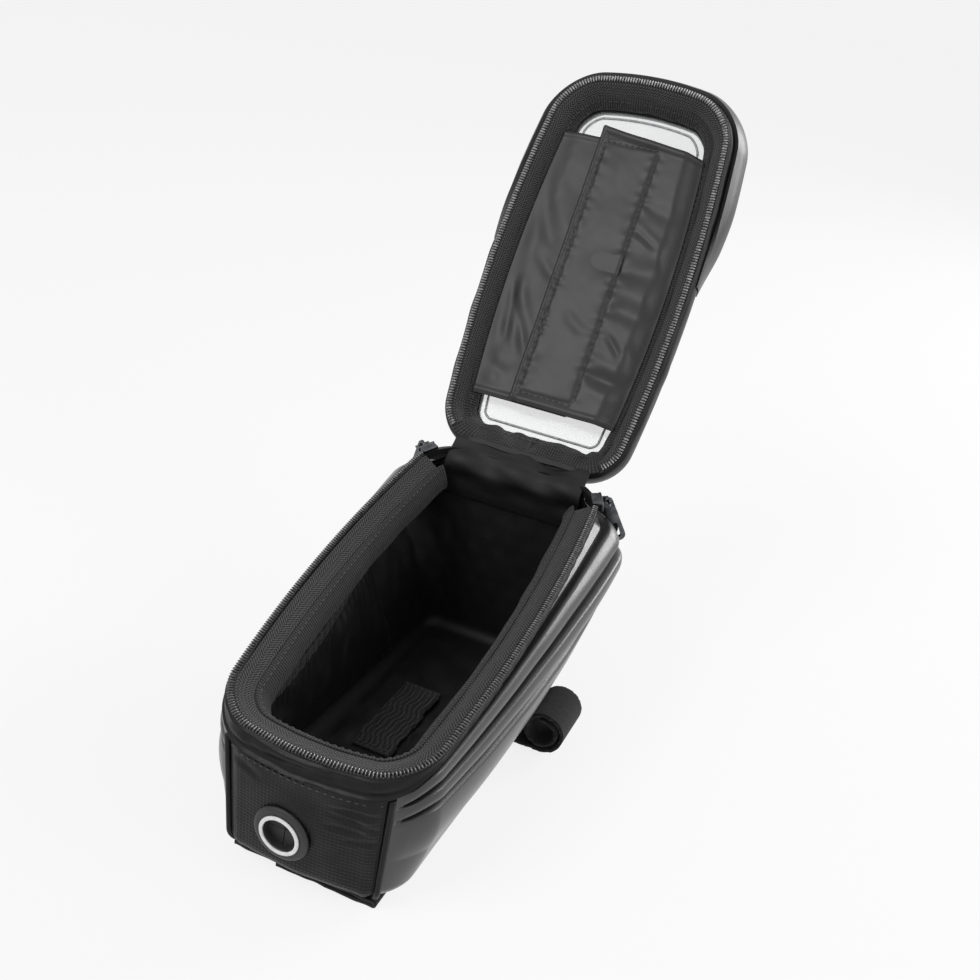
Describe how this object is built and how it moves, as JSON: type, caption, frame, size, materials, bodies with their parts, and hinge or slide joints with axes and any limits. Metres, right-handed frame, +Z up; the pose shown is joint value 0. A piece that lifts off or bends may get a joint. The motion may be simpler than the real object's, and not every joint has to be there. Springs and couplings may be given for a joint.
{
  "type": "top tube phone bag",
  "caption": "Wedge-shaped soft bicycle frame bag with a zipped, hinged window lid standing open, a phone pocket, moulded side shells and hook-and-loop straps.",
  "frame": {"origin": "on the underside of the base panel, on the bag's mid plane and midway between the two ends of the rim", "axes": "+X is the bag's right side, +Y runs from the cable port end to the lid's hinge end, +Z is up, off the base"},
  "size_m": [0.1212, 0.3289, 0.2707],
  "materials": {
    "coated_cloth": "black coated cloth, low sheen",
    "moulded_foam": "black coated moulded foam, soft gloss",
    "woven_tape": "black woven tape",
    "lining_cloth": "black thin lining",
    "satin_panel": "dark grey coated satin cloth",
    "nylon_coil": "black nylon coil",
    "gunmetal": "dark plated zinc",
    "rubber": "black moulded rubber",
    "light_ring": "light grey",
    "hook_and_loop": "black hook and loop tape",
    "clear_sheet": "clear flexible film",
    "board": "plain stiffener board"
  },
  "bodies": {
    "bag": {"base_board": "board", "base_panel": "coated_cloth", "binding_body": "woven_tape", "cable_end_panel": "coated_cloth", "cable_port_flange": "rubber", "cable_port_membrane": "rubber", "cable_port_ring": "light_ring", "floor_elastic": "woven_tape", "head_strap": "hook_and_loop", "hinge_end_panel": "coated_cloth", "hinge_gusset": "lining_cloth", "inner_pocket": "lining_cloth", "lining": "lining_cloth", "piping_front_left": "coated_cloth", "piping_front_right": "coated_cloth", "piping_rear_left": "coated_cloth", "piping_rear_right": "coated_cloth", "pocket_elastic": "woven_tape", "rim_band": "coated_cloth", "side_panel_left": "moulded_foam", "side_panel_right": "moulded_foam", "slider_left": "gunmetal", "slider_right": "gunmetal", "strap_front": "hook_and_loop", "strap_mid": "hook_and_loop", "zip_chain_body": "nylon_coil", "zip_tape_body": "woven_tape"},
    "lid": {"binding_lid": "woven_tape", "hook_strip": "hook_and_loop", "lid_frame": "coated_cloth", "lid_lining": "lining_cloth", "lid_wall": "coated_cloth", "loop_strip": "hook_and_loop", "pocket_flap": "satin_panel", "pocket_panel": "satin_panel", "sun_visor": "moulded_foam", "window": "clear_sheet", "zip_chain_lid": "nylon_coil", "zip_tape_lid": "woven_tape"},
    "right_pull": {"pull_right": "gunmetal"},
    "left_pull": {"pull_left": "gunmetal"}
  },
  "joints": [
    {"name": "lid_hinge", "type": "hinge", "parent": "bag", "child": "lid", "pos_m": [0, 0.09271, 0.10445], "axis": [1, 0, 0], "range_deg": [0, 137]},
    {"name": "pull_right_swing", "type": "hinge", "parent": "bag", "child": "right_pull", "pos_m": [0.04738, 0.08505, 0.09987], "axis": [0.4925, -0.8494, -0.1899], "range_deg": [0, 120]},
    {"name": "pull_left_swing", "type": "hinge", "parent": "bag", "child": "left_pull", "pos_m": [-0.04738, 0.08505, 0.09987], "axis": [0.4925, 0.8494, 0.1899], "range_deg": [0, 120]}
  ]
}
